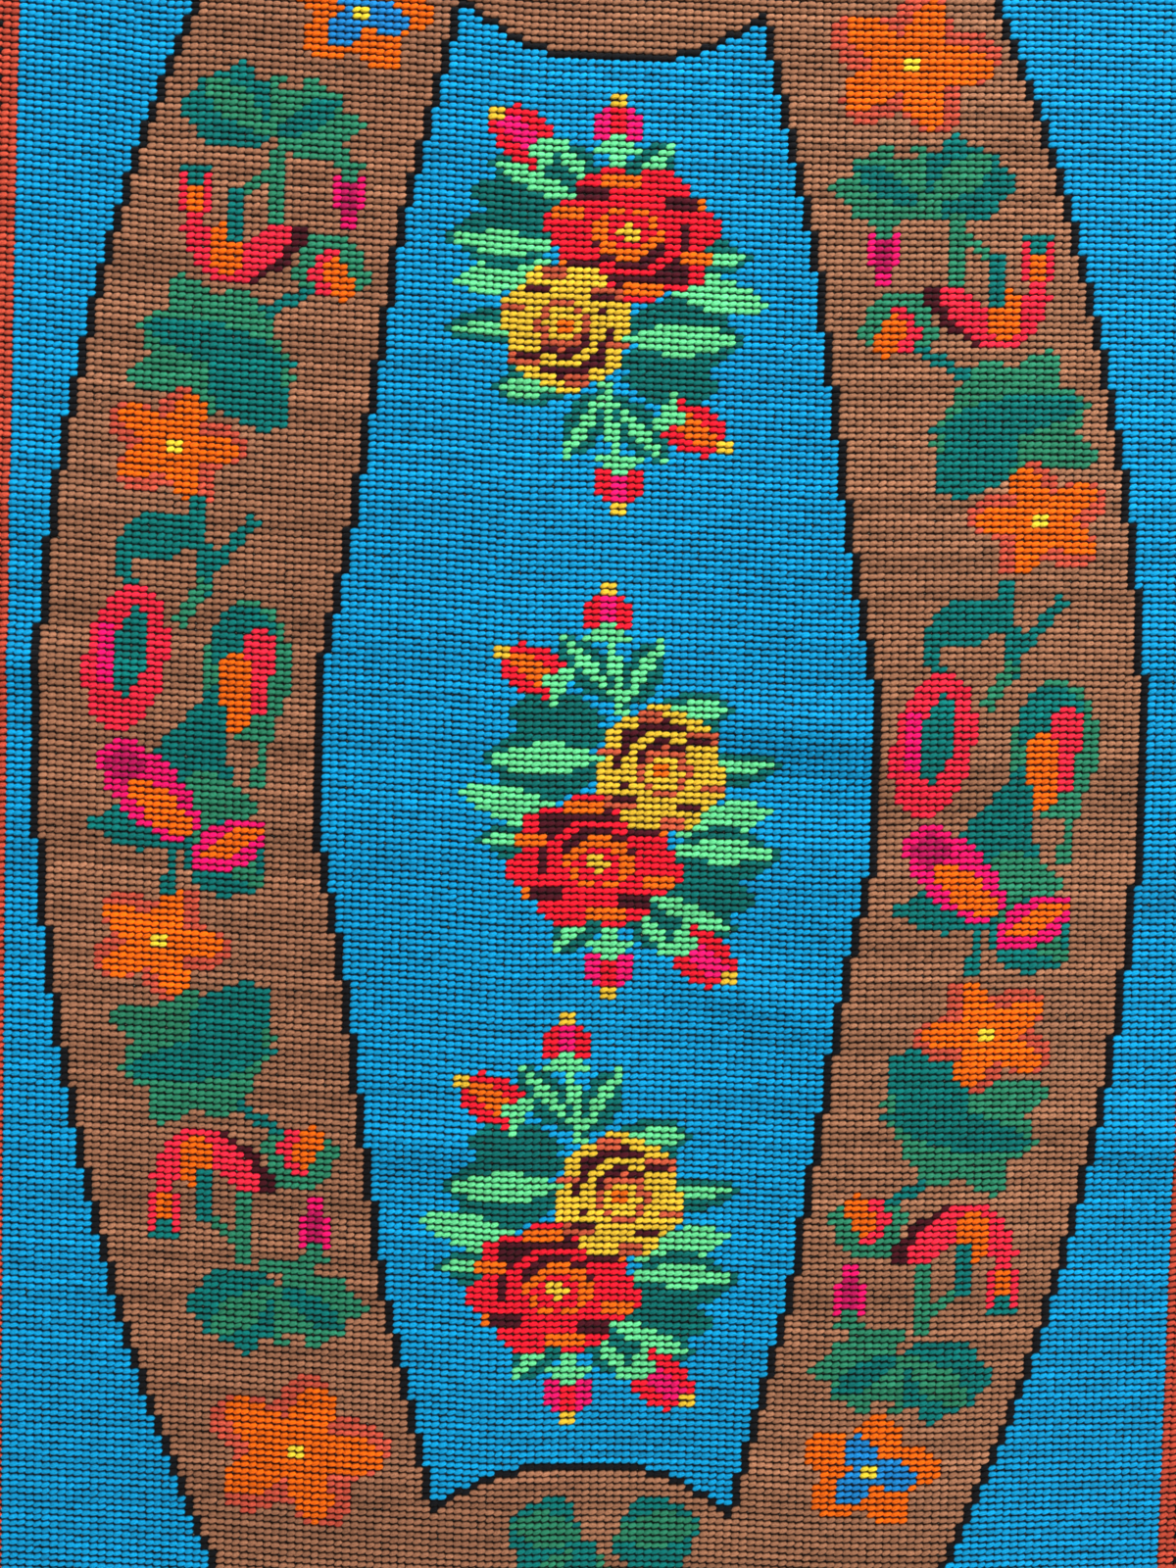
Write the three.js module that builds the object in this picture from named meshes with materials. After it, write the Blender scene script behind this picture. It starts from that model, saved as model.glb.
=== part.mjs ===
// Cross-stitch wall hanging: one length of canvas, worked all over in thick wool,
// its four edges turned to the wrong side and sewn down. It hangs from its top
// edge, faces -Y, and its rows sag between the two upper corners and fall to the
// right, most of all near the top, because the canvas was pulled out of square.
// Millimetres, +Z up. The origin is the middle of the top edge.

import * as THREE from "three";

// The worked area, counted in stitches.
const STITCH_WIDTH = 4.0;
const STITCH_HEIGHT = 3.35;
const STITCHES_ACROSS = 177;
const STITCHES_DOWN = 403;

// The canvas that shows past the last stitch, and the hem turned back behind it.
const BARE_EDGE = 3;
const HEM_WIDTH = 16;
const CLOTH_THICKNESS = 3.2;
const HEM_THICKNESS = 4.8;
const EDGE_THICKNESS = 2.4;
const EDGE_ROUNDING = 2;
const HEM_STEP = 3;

const WIDTH = STITCHES_ACROSS * STITCH_WIDTH + 2 * BARE_EDGE;
const HEIGHT = STITCHES_DOWN * STITCH_HEIGHT + 2 * BARE_EDGE;

// How it hangs: the rows' sag, their fall to the right per millimetre halfway down,
// how much steeper they fall at the top than at the bottom, the sides' bulge, and
// shallow upright waves that deepen downwards.
const ROW_SAG = 10;
const ROW_FALL = 0.024;
const ROW_TWIST = 0.05;
const SIDE_BULGE = 7;
const WAVE_DEPTH = 3.5;
const WAVE_LENGTH = 262;
const WAVE_START = 60;
const WAVE_LEAN = 30;
const LOWER_EDGE_CURL = 5;
const CURL_HEIGHT = 120;

// Where uneven stitching has drawn the rows down, or up where fall is negative.
// x and drop place the middle of a bend, across and down are half its size.
const ROW_BENDS = [
  { x: -42, drop: 760, across: 26, down: 560, fall: 1.3 },
  { x: 113, drop: 800, across: 38, down: 520, fall: 1.1 },
  { x: 222, drop: 820, across: 42, down: 480, fall: -1.0 },
  { x: -225, drop: 350, across: 20, down: 80, fall: 1.7 },
  { x: -30, drop: 310, across: 50, down: 130, fall: 1.4 },
];

// Soft creases kept from when it lay folded, placed in the same way. Height is how
// far a crease stands out, and slant how far it falls to the right per millimetre.
const CREASES = [
  { x: 98, drop: 652, across: 44, down: 13, height: 3.4, slant: 0.02 },
  { x: 118, drop: 690, across: 52, down: 20, height: -2.6, slant: 0.04 },
  { x: 80, drop: 790, across: 42, down: 13, height: 3.2, slant: 0.2 },
  { x: -75, drop: 872, across: 46, down: 13, height: 3.4, slant: 0.0 },
  { x: -284, drop: 642, across: 40, down: 12, height: 3.6, slant: 0.0 },
  { x: -290, drop: 564, across: 34, down: 14, height: 2.4, slant: 0.03 },
  { x: 278, drop: 862, across: 44, down: 16, height: 3.6, slant: 0.1 },
  { x: 292, drop: 612, across: 36, down: 14, height: 2.6, slant: -0.05 },
  { x: -40, drop: 1130, across: 130, down: 20, height: 2.8, slant: 0.03 },
  { x: 120, drop: 236, across: 110, down: 20, height: 2.4, slant: -0.02 },
];

// Grid lines between the hems.
const COLUMNS_BETWEEN_HEMS = 24;
const ROWS_BETWEEN_HEMS = 44;

// Distance of each grid line from the first edge: close ones over the rounded
// edge and the hem, then even ones.
function gridLines(size, linesBetween) {
  const nearEdge = [0, EDGE_ROUNDING, HEM_WIDTH - HEM_STEP, HEM_WIDTH];
  const between = size - 2 * HEM_WIDTH;
  const lines = [...nearEdge];
  for (let i = 1; i < linesBetween; i += 1) {
    lines.push(HEM_WIDTH + (between * i) / linesBetween);
  }
  for (const distance of nearEdge.toReversed()) {
    lines.push(size - distance);
  }
  return lines;
}

// 1 in the middle of a bend or crease, fading to 0 round it.
function nearness(place, x, drop) {
  const slant = place.slant ?? 0;
  const across = (x - place.x) / place.across;
  const down = (drop - place.drop - slant * (x - place.x)) / place.down;
  return Math.exp(-across * across - down * down);
}

// How far the cloth stands out from its flat plane, towards the front.
function standOut(x, drop) {
  const down = drop / HEIGHT;
  const phase = (x + WAVE_START + WAVE_LEAN * down) / WAVE_LENGTH;
  const wave = WAVE_DEPTH * (0.25 + 0.75 * down) * Math.cos(2 * Math.PI * phase);
  const fromLowerEdge = (HEIGHT - drop) / CURL_HEIGHT;
  const curl = LOWER_EDGE_CURL * Math.exp(-fromLowerEdge * fromLowerEdge);
  let out = wave + curl;
  for (const crease of CREASES) {
    out += crease.height * nearness(crease, x, drop);
  }
  return out;
}

// How far a spot lies above its place in straight, level rows.
function rowLift(x, drop) {
  const across = x / (WIDTH / 2);
  const fall = ROW_FALL + ROW_TWIST * (0.5 - drop / HEIGHT);
  let lift = ROW_SAG * across * across - fall * x;
  for (const bend of ROW_BENDS) {
    lift -= bend.fall * nearness(bend, x, drop);
  }
  return lift;
}

// Where a spot of the flat cloth comes to hang.
function hungPoint(x, drop) {
  const across = x / (WIDTH / 2);
  const down = drop / HEIGHT;
  return new THREE.Vector3(
    x + SIDE_BULGE * across * Math.sin(Math.PI * down),
    -standOut(x, drop),
    rowLift(x, drop) - drop,
  );
}

// Cloth thickness by the distance to the nearest edge.
function thicknessAt(x, drop) {
  const toEdge = Math.min(WIDTH / 2 - Math.abs(x), drop, HEIGHT - drop);
  if (toEdge < EDGE_ROUNDING / 2) {
    return EDGE_THICKNESS;
  }
  return toEdge < HEM_WIDTH - HEM_STEP / 2 ? HEM_THICKNESS : CLOTH_THICKNESS;
}

// The hem adds to the wrong side only, and the worked side stays even.
function facePoint(x, drop, isFront) {
  const point = hungPoint(x, drop);
  const thickness = thicknessAt(x, drop);
  const front = Math.min(CLOTH_THICKNESS, thickness) / 2;
  point.y += isFront ? -front : thickness - front;
  return point;
}

function clothGeometry() {
  const acrossLines = gridLines(WIDTH, COLUMNS_BETWEEN_HEMS);
  const downLines = gridLines(HEIGHT, ROWS_BETWEEN_HEMS);
  const columns = acrossLines.length;
  const rows = downLines.length;
  const faceSize = columns * rows;
  const positions = [];
  for (const isFront of [true, false]) {
    for (const drop of downLines) {
      for (const distance of acrossLines) {
        const point = facePoint(distance - WIDTH / 2, drop, isFront);
        positions.push(point.x, point.y, point.z);
      }
    }
  }

  const indices = [];
  const addQuad = (a, b, c, d) => indices.push(a, b, c, a, c, d);
  for (let row = 0; row < rows - 1; row += 1) {
    for (let column = 0; column < columns - 1; column += 1) {
      const upper = row * columns + column;
      const lower = upper + columns;
      addQuad(upper, lower, lower + 1, upper + 1);
      addQuad(
        faceSize + upper,
        faceSize + upper + 1,
        faceSize + lower + 1,
        faceSize + lower,
      );
    }
  }

  // The rim joins the front to the back along all four edges.
  const addRim = (a, b) => addQuad(a, b, faceSize + b, faceSize + a);
  for (let column = 0; column < columns - 1; column += 1) {
    const last = (rows - 1) * columns + column;
    addRim(column, column + 1);
    addRim(last + 1, last);
  }
  for (let row = 0; row < rows - 1; row += 1) {
    const left = row * columns;
    const right = left + columns - 1;
    addRim(left + columns, left);
    addRim(right, right + columns);
  }

  const geometry = new THREE.BufferGeometry();
  geometry.setAttribute("position", new THREE.Float32BufferAttribute(positions, 3));
  geometry.setIndex(indices);
  geometry.computeVertexNormals();
  return geometry;
}

const wool = new THREE.MeshStandardMaterial({
  color: new THREE.Color(0.04, 0.5, 0.7),
  roughness: 0.92,
  metalness: 0,
});

const cloth = new THREE.Mesh(clothGeometry(), wool);
cloth.name = "embroidered_cloth";

const hanging = new THREE.Group();
hanging.add(cloth);

export default hanging;
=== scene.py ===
import math
from collections import namedtuple

import bpy
import numpy as np
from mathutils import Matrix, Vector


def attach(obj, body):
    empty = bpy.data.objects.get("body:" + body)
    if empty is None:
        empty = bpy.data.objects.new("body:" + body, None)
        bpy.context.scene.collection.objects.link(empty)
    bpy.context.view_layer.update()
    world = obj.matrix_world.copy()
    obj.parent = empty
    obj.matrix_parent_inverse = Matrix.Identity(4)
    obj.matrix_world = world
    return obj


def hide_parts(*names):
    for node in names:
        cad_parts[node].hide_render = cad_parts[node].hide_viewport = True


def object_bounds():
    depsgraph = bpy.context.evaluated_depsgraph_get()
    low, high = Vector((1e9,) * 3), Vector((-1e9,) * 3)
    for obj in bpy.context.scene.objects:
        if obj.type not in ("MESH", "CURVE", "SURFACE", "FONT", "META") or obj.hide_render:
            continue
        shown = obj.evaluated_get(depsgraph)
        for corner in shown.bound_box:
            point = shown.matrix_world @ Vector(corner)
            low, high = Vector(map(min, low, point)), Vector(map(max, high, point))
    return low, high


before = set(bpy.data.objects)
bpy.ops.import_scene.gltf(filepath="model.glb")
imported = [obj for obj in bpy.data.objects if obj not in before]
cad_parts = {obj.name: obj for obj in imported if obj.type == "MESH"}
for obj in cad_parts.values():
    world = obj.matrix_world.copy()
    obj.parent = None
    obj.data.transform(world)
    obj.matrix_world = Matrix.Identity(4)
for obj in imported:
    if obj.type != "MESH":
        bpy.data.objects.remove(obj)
cad_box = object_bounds()


# ------------------------------------------------------------------ Canvas
# One length of open cotton canvas, counted in stitches. It hangs from its top edge,
# so its rows sag and fall to the right, and its face stands out in shallow upright
# waves and in soft creases kept from when it lay folded. Its edges are turned back.

STITCH_WIDTH = 0.004
STITCH_HEIGHT = 0.00335
STITCHES_ACROSS = 177
STITCHES_DOWN = 403
BARE_EDGE = 0.003
HEM_WIDTH = 0.016
WIDTH = STITCHES_ACROSS * STITCH_WIDTH + 2 * BARE_EDGE
HEIGHT = STITCHES_DOWN * STITCH_HEIGHT + 2 * BARE_EDGE
CANVAS_THICKNESS = 0.001
CANVAS_SETBACK = 0.0004
HEM_THICKNESS = 0.0026
HEM_RIPPLE = 0.0003
HEM_STEP = 0.0012
EDGE_ROUNDING = 0.0012

ROW_SAG = 0.010
ROW_FALL = 0.024
ROW_TWIST = 0.05
SIDE_BULGE = 0.007
WAVE_DEPTH = 0.0035
WAVE_LENGTH = 0.262
WAVE_START = 0.060
WAVE_LEAN = 0.030
LOWER_EDGE_CURL = 0.005
CURL_HEIGHT = 0.120

# x and drop place the middle of a bend or crease, across and down are half its size,
# height is how far it bends its rows or stands out, and slant its fall to the right.
Place = namedtuple("Place", "x drop across down height slant", defaults=(0.0,))
ROW_BENDS = [
    Place(-0.042, 0.760, 0.026, 0.560, 0.0013),
    Place(0.113, 0.800, 0.038, 0.520, 0.0011),
    Place(0.222, 0.820, 0.042, 0.480, -0.0010),
    Place(-0.225, 0.350, 0.020, 0.080, 0.0017),
    Place(-0.030, 0.310, 0.050, 0.130, 0.0014),
]
CREASES = [
    Place(0.098, 0.652, 0.044, 0.013, 0.0034, 0.02),
    Place(0.118, 0.690, 0.052, 0.020, -0.0026, 0.04),
    Place(0.080, 0.790, 0.042, 0.013, 0.0032, 0.2),
    Place(-0.075, 0.872, 0.046, 0.013, 0.0034),
    Place(-0.284, 0.642, 0.040, 0.012, 0.0036),
    Place(-0.290, 0.564, 0.034, 0.014, 0.0024, 0.03),
    Place(0.278, 0.862, 0.044, 0.016, 0.0036, 0.1),
    Place(0.292, 0.612, 0.036, 0.014, 0.0026, -0.05),
    Place(-0.040, 1.130, 0.130, 0.020, 0.0028, 0.03),
    Place(0.120, 0.236, 0.110, 0.020, 0.0024, -0.02),
]


def nearness(place, x, drop):
    """1 in the middle of a bend or crease, fading to 0 round it."""
    across = (x - place.x) / place.across
    down = (drop - place.drop - place.slant * (x - place.x)) / place.down
    return np.exp(-(across**2) - down**2)


def stand_out(x, drop):
    """How far the cloth stands out from its flat plane, towards the front."""
    down = drop / HEIGHT
    phase = (x + WAVE_START + WAVE_LEAN * down) / WAVE_LENGTH
    wave = WAVE_DEPTH * (0.25 + 0.75 * down) * np.cos(2 * np.pi * phase)
    curl = LOWER_EDGE_CURL * np.exp(-(((HEIGHT - drop) / CURL_HEIGHT) ** 2))
    creases = sum(crease.height * nearness(crease, x, drop) for crease in CREASES)
    return wave + curl + creases


def hung(x, drop, out):
    """Where a spot of the flat cloth comes to hang, out in front of its middle."""
    across = x / (WIDTH / 2)
    bends = sum(bend.height * nearness(bend, x, drop) for bend in ROW_BENDS)
    fall = ROW_FALL + ROW_TWIST * (0.5 - drop / HEIGHT)
    lift = ROW_SAG * across**2 - fall * x - bends
    bulge = SIDE_BULGE * across * np.sin(np.pi * drop / HEIGHT)
    return np.stack([x + bulge, -stand_out(x, drop) - out, lift - drop], axis=-1)


def slopes(x, drop):
    """How fast the cloth stands out to the right and upwards, for its normals."""
    step = 0.001
    to_right = (stand_out(x + step, drop) - stand_out(x - step, drop)) / (2 * step)
    upwards = (stand_out(x, drop - step) - stand_out(x, drop + step)) / (2 * step)
    return to_right, upwards


def joined(name, points, triangles, attributes=(), normals=None):
    """One smooth mesh object from arrays, with named values at its points."""
    mesh = bpy.data.meshes.new(name)
    mesh.vertices.add(len(points))
    mesh.vertices.foreach_set("co", points.astype(np.float32).ravel())
    mesh.loops.add(triangles.size)
    mesh.loops.foreach_set("vertex_index", triangles.astype(np.int32).ravel())
    mesh.polygons.add(len(triangles))
    mesh.polygons.foreach_set("loop_start", np.arange(0, triangles.size, 3))
    mesh.update(calc_edges=True)
    mesh.shade_smooth()
    for attribute, kind, field, values in attributes:
        made = mesh.attributes.new(attribute, kind, "POINT")
        made.data.foreach_set(field, values.astype(np.float32).ravel())
    if normals is not None:
        mesh.normals_split_custom_set_from_vertices(normals.tolist())
    piece = bpy.data.objects.new(name, mesh)
    bpy.context.scene.collection.objects.link(piece)
    return piece


class Shade:
    """One output of a material's nodes, so that shader maths reads as sums."""

    def __init__(self, tree, output=None):
        self.tree = tree
        self.output = output

    def plug(self, socket, value):
        if isinstance(value, Shade):
            self.tree.links.new(value.output, socket)
        else:
            socket.default_value = value

    def node(self, kind, settings=(), inputs=(), output=0):
        made = self.tree.nodes.new(kind)
        for setting, value in dict(settings).items():
            setattr(made, setting, value)
        for socket, value in dict(inputs).items():
            self.plug(made.inputs[socket], value)
        return Shade(self.tree, made.outputs[output])

    def sum(self, operation, first, second):
        return self.node("ShaderNodeMath", {"operation": operation}, {0: first, 1: second})

    def __add__(self, other):
        return self.sum("ADD", self, other)

    def __radd__(self, other):
        return self.sum("ADD", other, self)

    def __sub__(self, other):
        return self.sum("SUBTRACT", self, other)

    def __mul__(self, other):
        return self.sum("MULTIPLY", self, other)

    def __rmul__(self, other):
        return self.sum("MULTIPLY", other, self)

    def stretched(self, along, across, third):
        """A vector with its three parts scaled apart."""
        settings = {"operation": "MULTIPLY"}
        return self.node("ShaderNodeVectorMath", settings, {0: self, 1: (along, across, third)})

    def brightened(self, times):
        """A colour times a value."""
        settings = {"operation": "SCALE"}
        return self.node("ShaderNodeVectorMath", settings, {0: self, "Scale": times})

    def noise(self, scale, detail=2.0, roughness=0.5):
        inputs = {"Vector": self, "Scale": scale, "Detail": detail, "Roughness": roughness}
        return self.node("ShaderNodeTexNoise", (), inputs)

    def smoothed(self, low, high):
        """0 below the low value, 1 above the high one, and an even ramp between."""
        settings = {"interpolation_type": "SMOOTHSTEP"}
        inputs = {"Value": self, "From Min": low, "From Max": high}
        return self.node("ShaderNodeMapRange", settings, inputs)

    def ridges(self, direction):
        """0 to 1 to 0 in even bands, crosswise to one of the vector's parts."""
        settings = {"wave_type": "BANDS", "bands_direction": direction, "wave_profile": "SIN"}
        return self.node("ShaderNodeTexWave", settings, {"Vector": self, "Scale": 1.0})

    def blended(self, first, second):
        """This value's mix of two colours: the first at 0, the second at 1."""
        inputs = {"Factor": self, 6: first, 7: second}
        return self.node("ShaderNodeMix", {"data_type": "RGBA"}, inputs, output=2)

    def bumped(self, distance):
        inputs = {"Height": self, "Distance": distance, "Strength": 1.0}
        return self.node("ShaderNodeBump", (), inputs)


def dye(red, green, blue):
    """A colour as a dyer's card shows it, in the linear numbers that shaders take."""
    card = np.array([red, green, blue])
    linear = np.where(card <= 0.04045, card / 12.92, ((card + 0.055) / 1.055) ** 2.4)
    return (*linear.tolist(), 1.0)


def fresh_material(name):
    material = bpy.data.materials.new(name)
    material.use_nodes = True
    return material, Shade(material.node_tree), material.node_tree.nodes["Principled BSDF"]


def canvas_material():
    """Pale cotton threads, over and under, with open squares between them."""
    material, shade, shader = fresh_material("pale_cotton_canvas")
    place = shade.node("ShaderNodeTexCoord", output="Object")
    # Bands repeat every 2 pi / 20 of a unit, and two threads make up one stitch.
    threads_across = 2 * math.pi / (20 * STITCH_WIDTH / 2)
    threads_down = 2 * math.pi / (20 * STITCH_HEIGHT / 2)
    threads = place.stretched(threads_across, threads_across, threads_down)
    weave = threads.ridges("X") + threads.ridges("Z")
    spun = place.noise(2600.0, 3.0)
    yellowed = place.noise(14.0)
    pale = yellowed.blended(dye(0.80, 0.76, 0.66), dye(0.86, 0.83, 0.75))
    shadow = 0.55 + 0.25 * weave + 0.15 * spun
    shade.plug(shader.inputs["Base Color"], pale.brightened(shadow))
    shade.plug(shader.inputs["Normal"], (weave * 0.7 + spun * 0.3).bumped(0.0005))
    shader.inputs["Roughness"].default_value = 0.9
    shader.inputs["Specular IOR Level"].default_value = 0.2
    return material


def grid_lines(size, pitch, first):
    """Lines over the rounded edge and the hem, then one every few stitches."""
    over_step = [HEM_WIDTH - HEM_STEP / 2, HEM_WIDTH + HEM_STEP / 2]
    near = [0.0, EDGE_ROUNDING, 0.004, 0.010, *over_step]
    # No line falls on the very middle, or close beside the hem's own.
    between = np.arange(first, size / 2 - 0.0001, pitch)
    between = between[between > HEM_WIDTH + 0.002]
    left = [*near, *between]
    return np.array([*left, *(size - x for x in reversed(left))])


def canvas_mesh():
    across = grid_lines(WIDTH, 3 * STITCH_WIDTH, BARE_EDGE + 0.5 * STITCH_WIDTH)
    down = grid_lines(HEIGHT, 2 * STITCH_HEIGHT, BARE_EDGE + 0.5 * STITCH_HEIGHT)
    x, drop = np.meshgrid(across - WIDTH / 2, down)
    to_edge = np.minimum(np.minimum(WIDTH / 2 - abs(x), drop), HEIGHT - drop)
    rounded = np.sqrt(np.clip(to_edge / EDGE_ROUNDING, 0.0, 1.0))
    hem = np.where(to_edge < HEM_WIDTH, HEM_THICKNESS, 0.0)
    ripple = HEM_RIPPLE * np.sin(x * 190) * np.sin(drop * 170)
    # The front is set back, so that the foot of every stitch stays in front of it.
    front = CANVAS_THICKNESS / 2 * rounded - CANVAS_SETBACK
    back = (CANVAS_THICKNESS / 2 + hem + np.where(hem > 0, ripple, 0.0)) * rounded
    middle = np.where(to_edge < EDGE_ROUNDING / 2, -HEM_THICKNESS / 2, 0.0)
    faces = [hung(x, drop, front + middle), hung(x, drop, middle - back)]
    points = np.concatenate([face.reshape(-1, 3) for face in faces])

    number = np.arange(x.size).reshape(x.shape)
    upper, lower = number[:-1, :-1].ravel(), number[1:, :-1].ravel()
    upper_right, lower_right = number[:-1, 1:].ravel(), number[1:, 1:].ravel()
    quads = [np.stack([upper, lower, lower_right, upper_right], axis=1)]
    quads.append(quads[0][:, ::-1] + x.size)
    rim = np.concatenate([number[0], number[1:, -1], number[-1, -2::-1], number[-2::-1, 0]])
    start, end = rim[:-1], rim[1:]
    quads.append(np.stack([start, end, end + x.size, start + x.size], axis=1))
    quads = np.concatenate(quads)
    return joined("canvas", points, quads[:, [0, 1, 2, 0, 2, 3]].reshape(-1, 3))


canvas = canvas_mesh()
canvas.data.materials.append(canvas_material())
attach(canvas, "root")
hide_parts("embroidered_cloth")


# ------------------------------------------------------------ Rose sprays
# Three sprays of a gold and a crimson rose, worked first, in thick wool. The upper
# one is turned half round. Each cross-stitch shows as one fat slanting strand, and
# on the wrong side the wool runs along the row behind the stitches.

STITCH_LENGTH = 0.0064
STITCH_BREADTH = 0.0046
STITCH_RISE = 0.0021
STITCH_SLANT = math.radians(16)
STITCH_FOOT = CANVAS_THICKNESS / 2 - 0.0002
NEEDLEFUL_LEAST = 14
NEEDLEFUL_MOST = 40
FLOAT_STITCHES = 6
FLOAT_BREADTH = 0.0031
FLOAT_RISE = 0.0009
FLOAT_RIM = 0.0001

# How unevenly it is worked: places and slant in metres and radians, the rest as
# shares of the whole.
ACROSS_SCATTER = 0.00012
DOWN_SCATTER = 0.00010
SLANT_SCATTER = math.radians(4.5)
LENGTH_SCATTER = 0.045
BREADTH_SCATTER = 0.05
RISE_SCATTER = 0.07
TONE_SCATTER = 0.06

# One stitch: how far along, aside and up each of its points lies, and the way that
# its surface faces there. The first three are its crest, then its rim, end to end.
Point = namedtuple("Point", "along aside up")
STITCH_POINTS = [
    Point(-0.48, 0.0, 0.94),
    Point(0.0, 0.0, 1.0),
    Point(0.48, 0.0, 0.94),
    Point(-1.0, 0.0, 0.0),
    Point(-0.6, 0.78, 0.0),
    Point(0.0, 1.0, 0.0),
    Point(0.6, 0.78, 0.0),
    Point(1.0, 0.0, 0.0),
    Point(0.6, -0.78, 0.0),
    Point(0.0, -1.0, 0.0),
    Point(-0.6, -0.78, 0.0),
]
STITCH_FACINGS = [
    Point(-0.35, 0.0, 0.94),
    Point(0.0, 0.0, 1.0),
    Point(0.35, 0.0, 0.94),
    Point(-0.85, 0.0, 0.5),
    Point(-0.35, 0.85, 0.4),
    Point(0.0, 0.92, 0.4),
    Point(0.35, 0.85, 0.4),
    Point(0.85, 0.0, 0.5),
    Point(0.35, -0.85, 0.4),
    Point(0.0, -0.92, 0.4),
    Point(-0.35, -0.85, 0.4),
]
STITCH_TRIANGLES = np.array([
    (3, 0, 4), (0, 5, 4), (0, 1, 5), (1, 6, 5), (1, 2, 6), (2, 7, 6),
    (3, 10, 0), (0, 10, 9), (0, 9, 1), (1, 9, 8), (1, 8, 2), (2, 8, 7),
])

unworked = np.ones((STITCHES_DOWN, STITCHES_ACROSS), bool)
COLUMNS = np.arange(STITCHES_ACROSS) - STITCHES_ACROSS // 2
ROWS = np.arange(STITCHES_DOWN) - STITCHES_DOWN // 2
COUNT_ACROSS, COUNT_DOWN = np.meshgrid(COLUMNS + 0.5, ROWS + 0.5)


def stitches_at(rows, columns):
    """The flat place of stitches, by their row and column from the upper left."""
    x = (columns - STITCHES_ACROSS // 2) * STITCH_WIDTH
    drop = BARE_EDGE + (rows + 0.5) * STITCH_HEIGHT
    return x, drop


def needlefuls(count, random):
    """A tone for each stitch in turn: one needleful of wool works a run of them."""
    runs = count // NEEDLEFUL_LEAST + 1
    lengths = random.integers(NEEDLEFUL_LEAST, NEEDLEFUL_MOST, runs)
    tones = random.normal(0.0, 1.0, len(lengths))
    return np.repeat(tones, lengths)[:count]


def front_stitches(rows, columns, random):
    """The strands that show, as points, facings and the place within a strand."""
    count = len(rows)
    x, drop = stitches_at(rows, columns)
    x = x + random.normal(0.0, ACROSS_SCATTER, count)
    drop = drop + random.normal(0.0, DOWN_SCATTER, count)
    turn = STITCH_SLANT + random.normal(0.0, SLANT_SCATTER, count)
    length = STITCH_LENGTH / 2 * random.normal(1.0, LENGTH_SCATTER, count)
    breadth = STITCH_BREADTH / 2 * random.normal(1.0, BREADTH_SCATTER, count)
    rise = STITCH_RISE * random.normal(1.0, RISE_SCATTER, count)

    shape = np.array(STITCH_POINTS)
    along = length[:, None] * shape[:, 0]
    aside = breadth[:, None] * shape[:, 1]
    up = STITCH_FOOT + rise[:, None] * shape[:, 2]
    cosine, sine = np.cos(turn)[:, None], np.sin(turn)[:, None]
    to_right = along * cosine - aside * sine
    upwards = along * sine + aside * cosine
    points = hung(x[:, None] + to_right, drop[:, None] - upwards, up)

    facing = np.array(STITCH_FACINGS)
    face_right = facing[:, 0] * cosine - facing[:, 1] * sine
    face_up = facing[:, 0] * sine + facing[:, 1] * cosine
    slope_right, slope_up = (slope[:, None] for slope in slopes(x, drop))
    normals = np.stack([
        face_right - slope_right * facing[:, 2],
        -facing[:, 2] - slope_right * face_right - slope_up * face_up,
        face_up - slope_up * facing[:, 2],
    ], axis=-1)
    normals /= np.linalg.norm(normals, axis=-1, keepdims=True)
    strand = np.stack(np.broadcast_arrays(
        shape[:, 0] * 1.6, shape[:, 1], random.uniform(0, 90, count)[:, None]
    ), axis=-1)
    # How high each point stands in its strand; the wool's painted shade darkens it towards the rim.
    crest = np.broadcast_to(shape[:, 2], along.shape)
    return points, normals, strand, crest


def wrong_side_floats(mask, random):
    """Rounded ribbons of wool along each run of stitches, on the wrong side."""
    padded = np.pad(mask.astype(np.int8), ((0, 0), (1, 1)))
    rows, first = np.nonzero(np.diff(padded) == 1)
    last = np.nonzero(np.diff(padded) == -1)[1]
    parts = -(-(last - first) // FLOAT_STITCHES)
    rows = np.repeat(rows, parts)
    start = np.repeat(first, parts)
    part = np.arange(len(rows)) - np.repeat(np.cumsum(parts) - parts, parts)
    from_column = start + part * FLOAT_STITCHES
    to_column = np.minimum(from_column + FLOAT_STITCHES, np.repeat(last, parts))

    x_from, drop = stitches_at(rows, from_column - 0.5)
    x_to, _ = stitches_at(rows, to_column - 0.5)
    side = np.array([-1.0, 0.0, 1.0])
    lift = np.array([FLOAT_RIM, FLOAT_RISE, FLOAT_RIM])
    x = np.stack([x_from, x_to], axis=1)[:, :, None] + 0.0 * side
    spread = drop[:, None, None] + side * FLOAT_BREADTH / 2 + 0.0 * x
    out = -CANVAS_THICKNESS / 2 - lift + 0.0 * x
    points = hung(x, spread, out)
    slope_right, slope_up = slopes(x, spread)
    tilt = np.array([0.8, 0.0, -0.8])
    normals = np.stack([slope_right, 1.0 + 0.0 * x, tilt + slope_up], axis=-1)
    normals /= np.linalg.norm(normals, axis=-1, keepdims=True)
    strand = np.stack(np.broadcast_arrays(
        x / STITCH_WIDTH, side, random.uniform(0, 90, len(x))[:, None, None]
    ), axis=-1)
    # Lowest at the float's edges, where the wool's painted shade darkens it most.
    crest = 0.25 + 0.75 * (1 - abs(side)) + 0.0 * x
    return rows, from_column, points, normals, strand, crest


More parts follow.
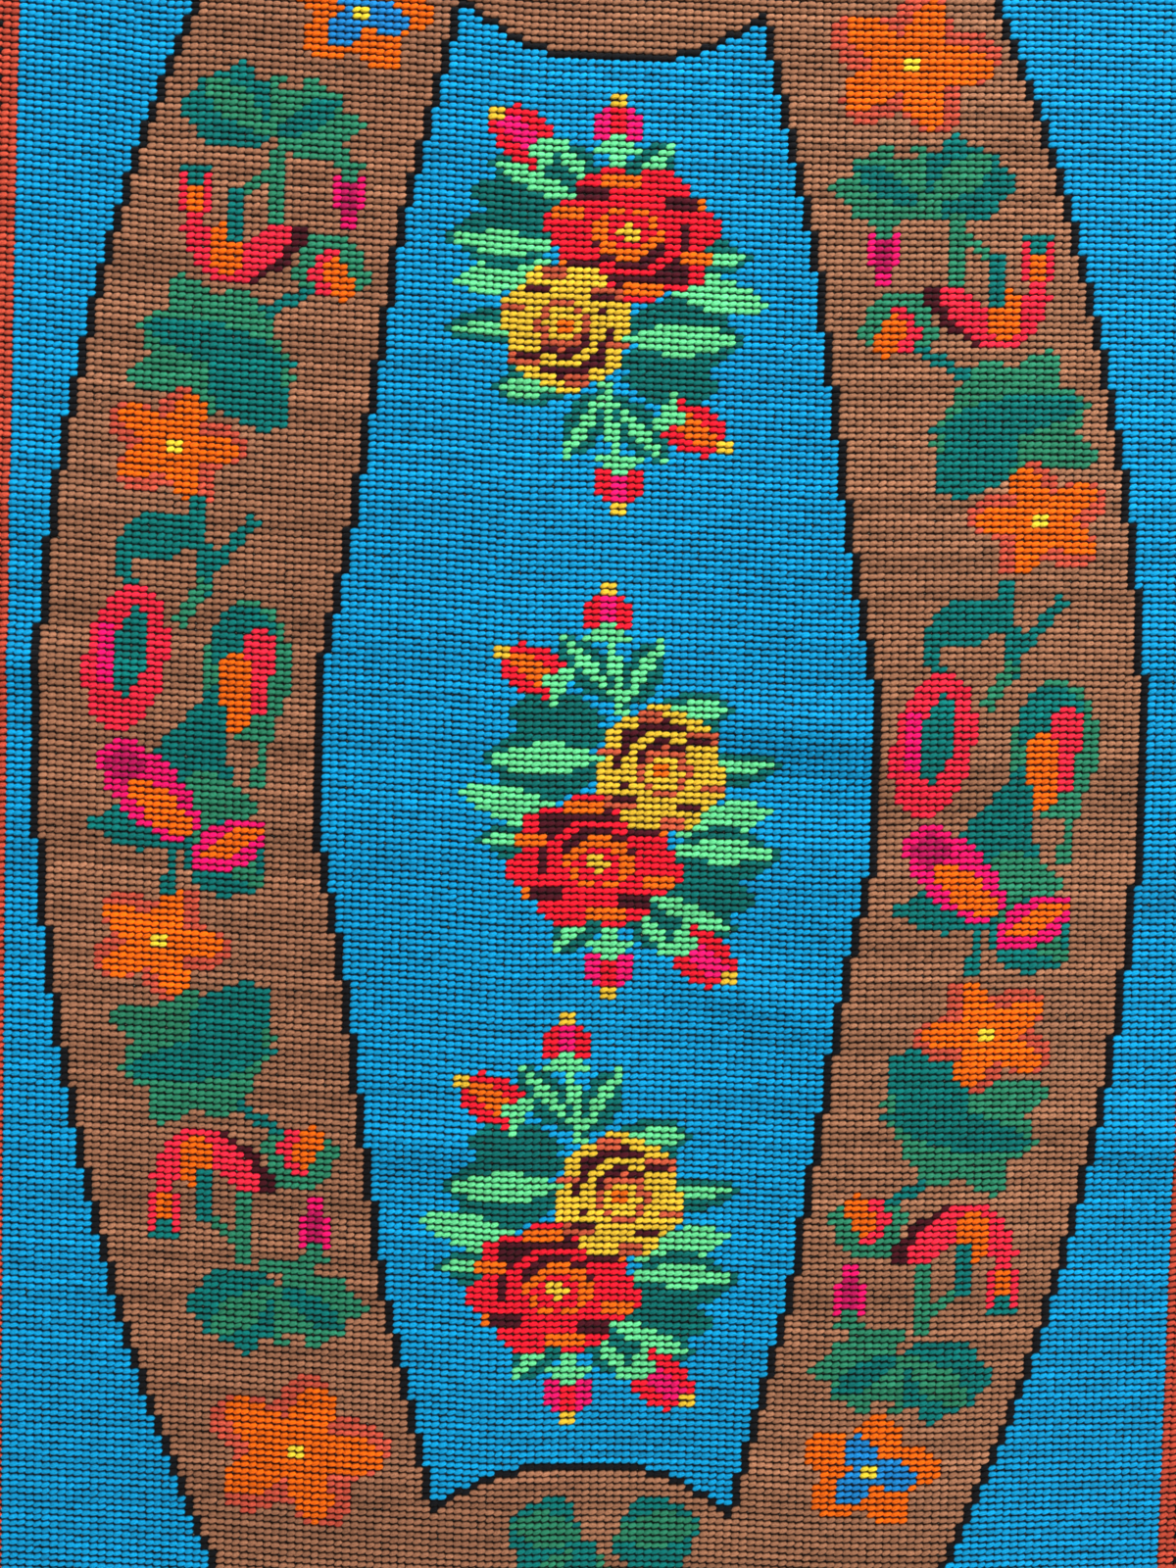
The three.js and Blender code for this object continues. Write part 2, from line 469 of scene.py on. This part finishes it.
FLOAT_TRIANGLES = np.array([(0, 4, 1), (0, 3, 4), (1, 5, 2), (1, 4, 5)])
BEHIND_HEM = np.ones(unworked.shape, bool)
hem_columns = math.ceil((HEM_WIDTH - BARE_EDGE) / STITCH_WIDTH)
hem_rows = math.ceil((HEM_WIDTH - BARE_EDGE) / STITCH_HEIGHT)
BEHIND_HEM[hem_rows:-hem_rows, hem_columns:-hem_columns] = False


def wool_material(name, heather):
    """Matt wool with soft fibres: each stitch's dye, with painted shade darkening it deep in its
    row.
    """
    material, shade, shader = fresh_material(name)
    attribute = "ShaderNodeAttribute"
    dyed = shade.node(attribute, {"attribute_name": "dyed"}, output="Color")
    strand = shade.node(attribute, {"attribute_name": "strand"}, output="Vector")
    crest = shade.node(attribute, {"attribute_name": "crest"}, output="Fac")
    place = shade.node("ShaderNodeTexCoord", output="Object")

    fibres = strand.stretched(1.2, 5.0, 1.0).noise(1.6, 3.0, 0.6)
    plies = strand.stretched(0.35, 1.1, 0.0).noise(2.2, 1.0)
    streaks = place.stretched(7.0, 7.0, 150.0).noise(1.0)
    flecks = place.noise(1500.0, 2.0, 0.6)
    # Painted shade: the dye darkens towards the rim of every strand and float, deep between rows.
    painted_rim_shade = 0.02 + 0.98 * crest.smoothed(0.14, 0.74)
    tone = 0.3 + fibres + 0.28 * streaks + heather * (flecks - 0.5) + 0.4 * (plies - 0.5)
    shade.plug(shader.inputs["Base Color"], dyed.brightened(tone * painted_rim_shade))
    relief = fibres * 0.5 + plies * 0.25 + flecks * 0.25
    shade.plug(shader.inputs["Normal"], relief.bumped(0.0006))
    shader.inputs["Roughness"].default_value = 0.88
    shader.inputs["Specular IOR Level"].default_value = 0.15
    shader.inputs["Sheen Weight"].default_value = 0.06
    shader.inputs["Sheen Roughness"].default_value = 0.5
    return material


def sewn(name, layers, seed, heather=0.3, needleful=0.07):
    """One piece of needlework: layers are (the stitches to work, their dye)."""
    random = np.random.default_rng(seed)
    front, back = [], []
    for mask, colour in layers:
        worked = mask & unworked
        unworked[worked] = False
        if not worked.any():
            continue
        rows, columns = np.nonzero(worked)
        tone = np.exp(needleful * needlefuls(len(rows), random))
        tone *= random.normal(1.0, TONE_SCATTER, len(rows))
        tones = np.zeros(worked.shape)
        tones[rows, columns] = tone
        front.append((*front_stitches(rows, columns, random), tone, colour))
        found = wrong_side_floats(worked & ~BEHIND_HEM, random)
        if len(found[0]):
            back.append((*found[2:], tones[found[0], found[1]], colour))

    points, triangles, normals, strand, crest, dyed = [], [], [], [], [], []
    start = 0
    for parts, pattern in ((front, STITCH_TRIANGLES), (back, FLOAT_TRIANGLES)):
        for part_points, part_normals, part_strand, part_crest, tone, colour in parts:
            count = len(part_points)
            each = part_points[0].size // 3
            offsets = start + each * np.arange(count)
            triangles.append((offsets[:, None, None] + pattern).reshape(-1, 3))
            start += each * count
            points.append(part_points.reshape(-1, 3))
            normals.append(part_normals.reshape(-1, 3))
            strand.append(part_strand.reshape(-1, 3))
            crest.append(part_crest.reshape(-1))
            shades = np.repeat(tone, each)[:, None] * np.array(colour)
            shades[:, 3] = 1.0
            dyed.append(shades)

    attributes = [
        ("dyed", "FLOAT_COLOR", "color", np.concatenate(dyed)),
        ("strand", "FLOAT_VECTOR", "vector", np.concatenate(strand)),
        ("crest", "FLOAT", "value", np.concatenate(crest)),
    ]
    piece = joined(
        name, np.concatenate(points), np.concatenate(triangles), attributes,
        np.concatenate(normals),
    )
    piece.data.materials.append(wool_material(f"wool_of_{name}", heather))
    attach(piece, "root")
    return piece


# A patch of a motif, in stitches across and down from the motif's own middle.
# A block or an oval fills the box between its two places; a stem, petal, blade or
# wedge runs from the first to the second, and wide is its greatest breadth. Blocks
# and ovals have no use for wide.
Patch = namedtuple("Patch", "shape wool across down to_across to_down wide", defaults=(1.5,))


def covered(patch):
    """The stitches whose middles lie in a patch."""
    left, right = sorted((patch.across, patch.to_across))
    top, bottom = sorted((patch.down, patch.to_down))
    if patch.shape == "block":
        across = (left <= COUNT_ACROSS) & (COUNT_ACROSS < right)
        down = (top <= COUNT_DOWN) & (COUNT_DOWN < bottom)
        return across & down
    if patch.shape == "oval":
        across = (2 * COUNT_ACROSS - left - right) / (right - left)
        down = (2 * COUNT_DOWN - top - bottom) / (bottom - top)
        return across**2 + down**2 < 1
    squat = STITCH_HEIGHT / STITCH_WIDTH
    run_across = patch.to_across - patch.across
    run_down = (patch.to_down - patch.down) * squat
    length = math.hypot(run_across, run_down)
    across, down = COUNT_ACROSS - patch.across, (COUNT_DOWN - patch.down) * squat
    along = (across * run_across + down * run_down) / length**2
    aside = abs(across * run_down - down * run_across) / length
    if patch.shape == "stem":
        overrun = 0.5 / length
        return (along > -overrun) & (along < 1 + overrun) & (aside < patch.wide / 2)
    fullness = {
        "petal": np.sqrt(np.clip(4 * along * (1 - along), 0, 1)),
        "blade": 4 * along * (1 - along),
        "wedge": 1 - along,
    }[patch.shape]
    return (along > 0) & (along < 1) & (aside < patch.wide / 2 * fullness)


def moved(patches, across=0, down=0, mirrored=False, upside_down=False, scale=1):
    """A motif's patches again in another place, turned over or in another size."""
    side, way = (-scale if mirrored else scale), (-scale if upside_down else scale)
    return [
        patch._replace(
            across=side * patch.across + across,
            down=way * patch.down + down,
            to_across=side * patch.to_across + across,
            to_down=way * patch.to_down + down,
            wide=scale * patch.wide,
        )
        for patch in patches
    ]


def charted(patches, wools):
    """For each wool, the stitches that it works: a later patch covers earlier ones."""
    names = list(wools)
    chart = np.full(unworked.shape, -1)
    for patch in patches:
        chart[covered(patch)] = names.index(patch.wool)
    return {name: chart == number for number, name in enumerate(names)}


def in_wools(stitches, wools):
    """The layers that sewn takes, for some of a chart's wools."""
    return [(stitches[wool], colour) for wool, colour in wools.items()]


def leaf(across, down, to_across, to_down, wide, body, light):
    """A pointed leaf from its foot to its tip, lighter along one side of its rib."""
    return [
        Patch("blade", body, across, down, to_across, to_down, 1.2 * wide),
        Patch("blade", light, across, down - wide / 5, to_across, to_down, wide / 2),
    ]


def lobed_leaf(across, down, to_across, to_down, wide, body, light):
    """A broad leaf with two lobes on each side of its tip."""
    run_across, run_down = to_across - across, to_down - down
    lobes = []
    for side in (-1, 1):
        for share, reach in ((0.15, 0.45), (0.45, 0.4)):
            x, y = across + share * run_across, down + share * run_down
            lobe_x = x + 0.45 * run_across - side * reach * run_down
            lobe_y = y + 0.45 * run_down + side * reach * run_across
            lobes.append(Patch("petal", body, x, y, lobe_x, lobe_y, 0.42 * wide))
    return [*lobes, *leaf(across, down, to_across, to_down, 0.8 * wide, body, light)]


def bud(across, down, to_across, to_down, wide, petal, heart, sepal, tip):
    """A half-open bud from its foot to its tip, in a cup of sepals."""
    cup_across = across + 0.4 * (to_across - across)
    cup_down = down + 0.4 * (to_down - down)
    return [
        Patch("petal", petal, across, down, to_across, to_down, wide),
        Patch("blade", heart, across, down, to_across, to_down, wide / 2.2),
        Patch("wedge", sepal, across, down, cup_across, cup_down, wide),
        Patch("oval", tip, to_across - 1.2, to_down - 1.2, to_across + 1.2, to_down + 1.2),
    ]


def round_points(number, reach, turn=0):
    """Evenly spaced places on a circle round the middle."""
    angles = [math.radians(turn + 360 * step / number) for step in range(number)]
    return [(reach * math.cos(angle), reach * math.sin(angle)) for angle in angles]


def rose(across, down, reach, flatness, petal, shadow, glow, heart):
    """A full rose: overlapping petals round a curled heart, each ring shaded above."""
    height = flatness * STITCH_WIDTH / STITCH_HEIGHT
    petals = [
        Patch("oval", petal, x - 0.42, height * (y - 0.42), x + 0.42, height * (y + 0.42))
        for x, y in round_points(7, 0.62, 12)
    ]
    # Each ring is an oval of shadow with an oval of petal set a little lower on it.
    rings = [
        Patch("oval", wool, x - size, height * (y - size), x + size, height * (y + size))
        for wool, size, x, y in (
            (shadow, 0.66, -0.04, -0.14), (petal, 0.66, 0.06, 0.02),
            (shadow, 0.42, 0.02, -0.08), (glow, 0.40, 0.06, 0.02),
            (petal, 0.28, 0.04, 0.08), (heart, 0.14, 0.02, 0.02),
        )
    ]
    streaks = [
        Patch("block", wool, x - 0.2, height * y - 0.1, x + 0.2, height * y + 0.1)
        for wool, number, out, turn in ((glow, 6, 0.82, 20), (shadow, 4, 0.74, 50))
        for x, y in round_points(number, out, turn)
    ]
    return moved([*petals, *rings, *streaks], across, down, scale=reach)


SPRAY_GREENS = {
    "mint": dye(0.42, 0.90, 0.60),
    "pine": dye(0.00, 0.44, 0.42),
}
SPRAY_BRIGHTS = {
    "crimson": dye(1.00, 0.09, 0.19),
    "magenta": dye(1.00, 0.06, 0.45),
    "maroon": dye(0.30, 0.05, 0.11),
    "brick": dye(0.80, 0.34, 0.22),
    "orange": dye(1.00, 0.44, 0.02),
    "yellow": dye(0.96, 0.78, 0.20),
}

SPRAY = [
    # Stems to the buds above and below, with narrow leaves on both sides.
    Patch("stem", "mint", 0, -9, -3, -26),
    Patch("stem", "mint", -2, 12, -2, 23),
    Patch("stem", "pine", -4, -12, -11, -18),
    *leaf(-2, -15, -9, -25, 4, "pine", "mint"),
    *leaf(-1, -14, 4, -25, 4, "pine", "mint"),
    *leaf(2, -12, 13, -15, 5, "pine", "mint"),
    *leaf(-3, 15, -9, 23, 4, "pine", "mint"),
    *leaf(1, 14, 5, 23, 4, "pine", "mint"),
    # Broad leaves to the left and right of the roses.
    *leaf(-3, -9, -15, -14, 7, "pine", "pine"),
    *leaf(-3, -5, -18, -6, 8, "pine", "mint"),
    *leaf(-7, 3, -21, -1, 4, "mint", "mint"),
    *leaf(-7, 7, -19, 6, 4, "pine", "mint"),
    *leaf(6, 5, 18, 0, 4, "mint", "mint"),
    *leaf(7, -4, 19, -7, 4, "pine", "mint"),
    *leaf(5, 8, 19, 7, 6, "pine", "mint"),
    *leaf(4, 13, 16, 14, 6, "pine", "pine"),
    *leaf(2, 15, 14, 19, 5, "pine", "mint"),
    # Buds, then the two roses.
    *bud(-3, -24, -3, -32, 6, "crimson", "magenta", "mint", "yellow"),
    *bud(-8, -17, -16, -22, 6, "crimson", "orange", "mint", "yellow"),
    *bud(-2, 21, -2, 29, 6, "magenta", "crimson", "mint", "yellow"),
    *bud(6, 20, 13, 26, 7, "crimson", "magenta", "mint", "yellow"),
    *rose(-4, 9, 10.5, 0.8, "crimson", "maroon", "orange", "yellow"),
    *rose(4, -5, 8, 1, "yellow", "maroon", "brick", "orange"),
]
spray = [
    *moved(SPRAY, -1, -71, mirrored=True, upside_down=True),
    *moved(SPRAY, 4, 5),
    *moved(SPRAY, 0, 70),
]
spray_stitches = charted(spray, SPRAY_GREENS | SPRAY_BRIGHTS)
spray_leaves = in_wools(spray_stitches, SPRAY_GREENS)
spray_roses = in_wools(spray_stitches, SPRAY_BRIGHTS)
pieces = [
    sewn("spray_leaves", spray_leaves, seed=11),
    sewn("spray_roses", spray_roses, seed=12),
]


# ---------------------------------------------------------- Flower garland
# Flowers, buds and leaves all round the brown ring, worked next. One quarter's buds
# are turned over for the lower half and mirrored for the right.

GARLAND_GREENS = {
    "leaf": dye(0.18, 0.55, 0.41),
    "teal": dye(0.00, 0.48, 0.46),
}
GARLAND_BRIGHTS = {
    "coral": dye(1.00, 0.16, 0.27),
    "magenta": dye(1.00, 0.05, 0.44),
    "plum": dye(0.76, 0.06, 0.36),
    "maroon": dye(0.29, 0.05, 0.10),
    "orange": dye(1.00, 0.43, 0.00),
    "brick": dye(0.85, 0.34, 0.25),
    "yellow": dye(1.00, 0.88, 0.22),
    "azure": dye(0.10, 0.55, 0.85),
}


def star_flower(reach, petal="orange", tip="brick", petals=5, turn=-80):
    """An open flower of pointed petals in two wools, with a small yellow heart."""
    patches = [
        Patch("petal", wool, 0, 0, x, y, wide * reach)
        for wool, share, wide, lean in ((tip, 1.0, 0.66, 0), (petal, 0.92, 0.44, 9))
        for x, y in round_points(petals, share * reach, turn + lean)
    ]
    return [*patches, Patch("oval", "yellow", -1.6, -1.2, 1.6, 1.2)]


LEAF_PAIR = [
    *lobed_leaf(0, 5, -10, -6, 12, "teal", "leaf"),
    *lobed_leaf(1, 5, 11, -4, 10, "leaf", "teal"),
    Patch("stem", "leaf", 0, 3, 1, -6),
]
BROAD_LEAF = [
    *lobed_leaf(9, 3, -11, -4, 13, "leaf", "teal"),
    Patch("petal", "teal", -2, 1, 8, 9, 8),
]
# Two buds, an open cup and a bellflower that hang from forked stems.
BUDS = [
    Patch("stem", "leaf", 1, -6, 1, 4),
    Patch("stem", "leaf", 1, -4, -4, 0),
    Patch("stem", "leaf", 1, 4, 7, 6),
    Patch("stem", "leaf", 3, -7, 10, -7),
    Patch("stem", "teal", 6, 13, -3, 19),
    *bud(-9, -4, -9, 4, 5, "coral", "orange", "teal", "coral"),
    *bud(10, -6, 10, 3, 4, "magenta", "plum", "leaf", "magenta"),
    Patch("petal", "maroon", -4, 13, 5, 4, 4),
    Patch("petal", "coral", -5, 13, -10, 4, 4),
    Patch("petal", "coral", -5, 13, 3, 4, 4),
    Patch("petal", "orange", -5, 12, -5, 4, 4),
    Patch("stem", "teal", -4, 0, -4, 6, 2),
    Patch("petal", "leaf", 8, 5, 4, 13, 4),
    Patch("petal", "leaf", 8, 5, 12, 13, 4),
    Patch("petal", "coral", 8, 7, 7, 14, 4),
    Patch("petal", "orange", 8, 8, 10, 15, 3),
]
SPRIG = [
    *leaf(0, 0, -10, 5, 5, "teal", "teal"),
    Patch("stem", "teal", 0, -3, 1, 10, 2),
    Patch("stem", "teal", 1, 8, 7, -1, 1.6),
    Patch("stem", "teal", -9, 4, -8, 14, 2),
    Patch("stem", "leaf", 1, 9, -2, 15, 1.6),
]
POD = [
    Patch("petal", "coral", 1, -11, -2, 11, 10),
    Patch("petal", "magenta", -3, -5, -3, 4, 3),
    Patch("blade", "teal", 1, -9, -1, 7, 4),
]
CUP = [
    Patch("petal", "leaf", 1, -12, 0, 9, 11),
    Patch("petal", "teal", 1, -11, -1, 0, 8),
    Patch("petal", "coral", 2, -8, 2, 5, 5),
    Patch("petal", "orange", -1, -4, -1, 8, 5),
    Patch("stem", "leaf", 4, 0, 2, 15),
]
TWO_BUDS = [
    Patch("wedge", "teal", -1, 6, 3, -11, 13),
    *leaf(-4, 7, 8, 8, 6, "leaf", "leaf"),
    *leaf(0, 12, -13, 12, 5, "teal", "teal"),
    *leaf(-1, 12, 9, 20, 8, "teal", "leaf"),
    Patch("stem", "teal", -2, 13, -3, 21, 1.6),
    Patch("petal", "magenta", 0, 13, -11, 0, 8),
    Patch("petal", "plum", -7, 5, -10, 1, 4),
    Patch("petal", "orange", 0, 13, -8, 5, 4),
    Patch("petal", "magenta", 0, 17, 9, 11, 6),
    Patch("blade", "orange", 1, 16, 9, 11, 3),
]
END_LEAVES = [
    *leaf(0, 0, -9, -4, 9, "teal", "leaf"),
    *leaf(4, 0, 15, -4, 9, "teal", "leaf"),
    *leaf(2, 0, -3, 12, 9, "leaf", "teal"),
]
AZURE_FLOWER = [*star_flower(9, tip="orange"), *star_flower(6, "azure", "azure", 3, 10)]

# The middle of each side, from its sprig down to its two open buds.
SIDE_MIDDLE = [
    *moved(SPRIG, 0, -34),
    *moved(POD, -8, -13),
    *moved(CUP, 6, -11),
    *TWO_BUDS,
]
garland = [
    *moved(AZURE_FLOWER, -31, -110),
    *moved(star_flower(11), 37, -107),
    *moved(star_flower(12), -36, 106),
    *moved(AZURE_FLOWER, 36, 106),
    *moved(LEAF_PAIR, -42, -94, scale=0.85),
    *moved(LEAF_PAIR, 39, -89, mirrored=True, scale=0.85),
    *moved(LEAF_PAIR, -39, 84, upside_down=True, scale=0.85),
    *moved(LEAF_PAIR, 40, 91, mirrored=True, upside_down=True, scale=0.85),
    *moved(BUDS, -42, -82),
    *moved(BUDS, 44, -78, mirrored=True),
    *moved(BUDS, -44, 71, upside_down=True),
    *moved(BUDS, 43, 78, mirrored=True, upside_down=True),
    *moved(BROAD_LEAF, -47, -58),
    *moved(BROAD_LEAF, 49, -53, mirrored=True),
    *moved(BROAD_LEAF, -48, 46, upside_down=True),
    *moved(BROAD_LEAF, 45, 52, mirrored=True, upside_down=True),
    *moved(star_flower(9), -53, -44),
    *moved(star_flower(9), 54, -39, mirrored=True),
    *moved(star_flower(9), -54, 30, upside_down=True),
    *moved(star_flower(9), 49, 39, mirrored=True, upside_down=True),
    *moved(SIDE_MIDDLE, -50, 1),
    *moved(SIDE_MIDDLE, 50, 8),
    # Both ends, where broad leaves frame one more flower.
    *moved(END_LEAVES, 0, 119),
    *moved(star_flower(9), 0, 146),
    *moved(END_LEAVES, 0, -128, upside_down=True),
    *moved(star_flower(9), 0, -152, upside_down=True),
]
garland_stitches = charted(garland, GARLAND_GREENS | GARLAND_BRIGHTS)
garland_leaves = in_wools(garland_stitches, GARLAND_GREENS)
garland_flowers = in_wools(garland_stitches, GARLAND_BRIGHTS)
pieces += [
    sewn("garland_leaves", garland_leaves, seed=21),
    sewn("garland_flowers", garland_flowers, seed=22),
]


# ---------------------------------------------------------------- Outlines
# One line of black stitches round the oval ring and one round the shield-shaped
# middle, stepping from row to row; they part the brown ring from the blue.

RING_MIDDLE = -1
RING_ACROSS = 69
RING_DOWN = 178
RING_ROUNDNESS = 1.8
# Half the shield's breadth at each count of rows above or below its middle. Its
# ends are hollowed, most of all at the corners.
SHIELD_ROWS = [12, 30, 80, 115]
SHIELD_BREADTHS = [35, 32, 26, 19]
SHIELD_END = 107
END_HOLLOW = 8

from_middle = abs(COUNT_ACROSS - RING_MIDDLE) / RING_ACROSS
in_ring = from_middle**RING_ROUNDNESS + (abs(COUNT_DOWN) / RING_DOWN) ** RING_ROUNDNESS < 1
hollow = END_HOLLOW * (abs(COUNT_ACROSS) / SHIELD_BREADTHS[-1]) ** 3
in_shield = abs(COUNT_ACROSS) < np.interp(abs(COUNT_DOWN), SHIELD_ROWS, SHIELD_BREADTHS)
in_shield &= abs(COUNT_DOWN) < SHIELD_END + hollow


def edge_of(area):
    """The outermost stitches of an area."""
    padded = np.pad(area, 1)
    inner = padded[:-2, 1:-1] & padded[2:, 1:-1] & padded[1:-1, :-2] & padded[1:-1, 2:]
    return area & ~inner


BLACK = dye(0.03, 0.035, 0.055)
outlines = edge_of(in_ring) | edge_of(in_shield)
pieces.append(sewn("outlines", [(outlines, BLACK)], seed=31))


# ------------------------------------------------------------- Ring ground
# The brown ground of the ring, worked row by row round its flowers, in a heathered
# wool whose needlefuls differ a little. The left half is slightly darker.

BROWN = dye(0.66, 0.45, 0.33)
DARKER_BROWN = dye(0.645, 0.435, 0.32)
brown_ground = in_ring & ~in_shield
brown_halves = [
    ("left", COUNT_ACROSS < 0, DARKER_BROWN, 41),
    ("right", COUNT_ACROSS > 0, BROWN, 42),
]
for half, part, half_brown, seed in brown_halves:
    layers = [(brown_ground & part, half_brown)]
    pieces.append(sewn(f"ring_ground_{half}", layers, seed, 0.9, 0.12))


# ------------------------------------------------------------------ Border
# A rust-red border with black teeth that point inwards from a black line. The
# sides and the ends are worked apart.

FIELD_ACROSS = 73
FIELD_DOWN = 183
RED_BEFORE_TEETH = 2
TOOTH_LENGTH = 3
TOOTH_EVERY = 4
RUST_RED = dye(0.82, 0.31, 0.22)

from_side = abs(COUNT_ACROSS) + 0.5 - FIELD_ACROSS
from_end = abs(COUNT_DOWN) + 0.5 - FIELD_DOWN
outwards = np.maximum(from_side, from_end)
counted_along = np.where(from_side > from_end, COUNT_DOWN, COUNT_ACROSS) - 0.5
on_tooth = (counted_along % TOOTH_EVERY == 0) & (outwards > RED_BEFORE_TEETH)
teeth = on_tooth & (outwards <= RED_BEFORE_TEETH + TOOTH_LENGTH)
teeth |= outwards == RED_BEFORE_TEETH + TOOTH_LENGTH + 1
border = outwards > 0
pieces.append(sewn("border_teeth", [(teeth, BLACK)], seed=51))
for name, part, seed in (("sides", from_side > from_end, 52), ("ends", from_side <= from_end, 53)):
    layers = [(border & part, RUST_RED)]
    pieces.append(sewn(f"border_{name}", layers, seed))


# ------------------------------------------------------------- Blue ground
# The bright blue ground inside the shield and in the corners round the ring, worked
# last, wherever the canvas is still bare. Its dye runs in faint streaks by the row.

BLUE = dye(0.00, 0.63, 0.86)
blue_parts = [
    ("shield_ground", in_shield, 61),
    ("corner_ground_upper", COUNT_DOWN < 0, 62),
    ("corner_ground_lower", COUNT_DOWN > 0, 63),
]
for name, part, seed in blue_parts:
    pieces.append(sewn(name, [(part & ~border, BLUE)], seed, 0.25, 0.06))


# --------------------------------------------------------- Hemming thread
# Small slanting stitches of cotton thread that hold the turned edge down on the
# wrong side, all the way round.

HEMMING_PITCH = 0.008
HEMMING_LENGTH = 0.005
HEMMING_BREADTH = 0.0009
HEMMING_RISE = 0.0007


def hemming_mesh():
    random = np.random.default_rng(71)
    side_x = WIDTH / 2 - HEM_WIDTH
    across = np.arange(-side_x, side_x, HEMMING_PITCH)
    down = np.arange(HEM_WIDTH, HEIGHT - HEM_WIDTH, HEMMING_PITCH)
    x = np.concatenate([across, across, np.full(len(down), -side_x), np.full(len(down), side_x)])
    drop = np.concatenate([
        np.full(len(across), HEM_WIDTH), np.full(len(across), HEIGHT - HEM_WIDTH), down, down,
    ])
    turn = math.radians(50) + random.normal(0.0, 0.12, len(x))
    shape = np.array(STITCH_POINTS)
    along = HEMMING_LENGTH / 2 * shape[:, 0]
    aside = HEMMING_BREADTH / 2 * shape[:, 1]
    to_right = along * np.cos(turn)[:, None] - aside * np.sin(turn)[:, None]
    upwards = along * np.sin(turn)[:, None] + aside * np.cos(turn)[:, None]
    behind = CANVAS_THICKNESS / 2 + HEM_THICKNESS - 0.0004 + HEMMING_RISE * shape[:, 2]
    points = hung(x[:, None] + to_right, drop[:, None] - upwards, -behind + 0.0 * to_right)
    offsets = len(shape) * np.arange(len(x))
    triangles = (offsets[:, None, None] + STITCH_TRIANGLES[:, ::-1]).reshape(-1, 3)
    return joined("hemming_thread", points.reshape(-1, 3), triangles)


def thread_material():
    """Pale cotton thread, with a fine twist."""
    material, shade, shader = fresh_material("hemming_cotton")
    place = shade.node("ShaderNodeTexCoord", output="Object")
    twist = place.noise(1800.0)
    pale = twist.blended(dye(0.72, 0.68, 0.58), dye(0.88, 0.85, 0.77))
    shade.plug(shader.inputs["Base Color"], pale)
    shade.plug(shader.inputs["Normal"], twist.bumped(0.0002))
    shader.inputs["Roughness"].default_value = 0.7
    return material


hemming = hemming_mesh()
hemming.data.materials.append(thread_material())
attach(hemming, "root")
pieces.append(hemming)


# ---------------------------------------------------------- Room and camera
# A plain pale floor below the hanging, a broad soft lamp at the upper right, a
# weaker one at the left, and the camera close in front, turned a little.

FLOOR_BELOW = 0.22
VIEW_PLACE = (-0.007, -1.10, -0.65)
VIEW_TILT = math.radians(-1.8)
VIEW_ROLL = math.radians(-1.2)

box_low, _ = cad_box
bpy.ops.mesh.primitive_plane_add(size=14, location=(0, 0, box_low.z - FLOOR_BELOW))
floor = bpy.context.object
floor.name = "floor"
floor_material, floor_shade, floor_shader = fresh_material("pale_floor")
floor_spots = floor_shade.node("ShaderNodeTexCoord", output="Object").noise(3.0)
floor_pale = floor_spots.blended(dye(0.90, 0.90, 0.89), dye(0.93, 0.93, 0.92))
floor_shade.plug(floor_shader.inputs["Base Color"], floor_pale)
floor_shader.inputs["Roughness"].default_value = 0.85
floor.data.materials.append(floor_material)


def soft_lamp(name, size, place, target, power):
    lamp = bpy.data.lights.new(name, "AREA")
    lamp.shape = "SQUARE"
    lamp.size = size
    lamp.energy = power
    holder = bpy.data.objects.new(name, lamp)
    bpy.context.scene.collection.objects.link(holder)
    holder.location = place
    direction = [t - p for t, p in zip(target, place)]
    flat = math.hypot(direction[0], direction[1])
    downward_tilt = math.atan2(flat, -direction[2])
    heading = math.atan2(direction[1], direction[0])
    holder.rotation_euler = (downward_tilt, 0.0, heading - math.pi / 2)


soft_lamp("window_lamp", 1.2, (1.3, -1.55, 1.9), (0.0, 0.0, -0.6), 190.0)
soft_lamp("fill_lamp", 1.6, (-1.6, -2.2, -0.9), (0.0, 0.0, -0.7), 6.0)
soft_lamp("back_lamp", 1.6, (0.8, 2.4, 0.6), (0.0, 0.0, -0.7), 40.0)

world = bpy.data.worlds.new("pale_room")
bpy.context.scene.world = world
world.use_nodes = True
room = Shade(world.node_tree)
rays = world.node_tree.nodes.new("ShaderNodeLightPath").outputs
seen = Shade(world.node_tree, rays["Is Camera Ray"]) + Shade(world.node_tree, rays["Is Glossy Ray"])
shown = seen + Shade(world.node_tree, rays["Is Transmission Ray"])
background = world.node_tree.nodes["Background"]
room.plug(background.inputs["Color"], (1.0, 1.0, 1.0, 1.0))
room.plug(background.inputs["Strength"], 0.12 + 0.88 * shown)

camera_data = bpy.data.cameras.new("camera")
camera_data.lens = 50.0
camera_data.sensor_width = 36.0
camera = bpy.data.objects.new("camera", camera_data)
bpy.context.scene.collection.objects.link(camera)
camera.location = VIEW_PLACE
camera.rotation_euler = (math.pi / 2 + VIEW_TILT, VIEW_ROLL, 0.0)
bpy.context.scene.camera = camera
bpy.context.scene.view_settings.view_transform = "Standard"
